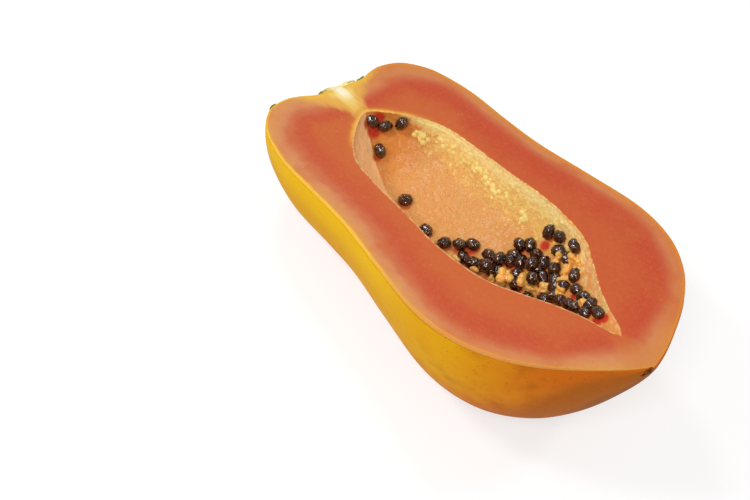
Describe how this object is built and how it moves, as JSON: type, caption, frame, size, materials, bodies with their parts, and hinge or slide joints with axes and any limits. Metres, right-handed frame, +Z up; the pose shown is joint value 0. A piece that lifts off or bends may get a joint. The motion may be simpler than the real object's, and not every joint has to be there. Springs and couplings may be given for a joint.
{
  "type": "papaya half",
  "caption": "Ripe papaya half cut lengthwise, with its flesh, rind, open seed cavity, dark round seeds and soft pulp, lying on its skin.",
  "frame": {"origin": "middle of the bounding box's base, on the surface that the fruit lies on", "axes": "+X from the stem end to the blossom end, +Y across the cut face, +Z up; the cut face is pitched 9 degrees about Y, blossom end higher, as the fruit lies"},
  "size_m": [0.2008, 0.1206, 0.0747],
  "materials": {
    "flesh": "moist cut fruit flesh, orange red in the middle and paler towards the rind and the seed cavity",
    "rind": "thin waxy ripe rind, golden yellow going to amber brown underneath, with fine freckles",
    "seed": "wet wrinkled seed, near black with olive brown",
    "pulp": "soft wet fibrous pulp, yellow orange",
    "stem_scrap": "dry torn scrap of green rind at the stem scar"
  },
  "bodies": {
    "root": {"papaya_half": "flesh"}
  },
  "joints": []
}
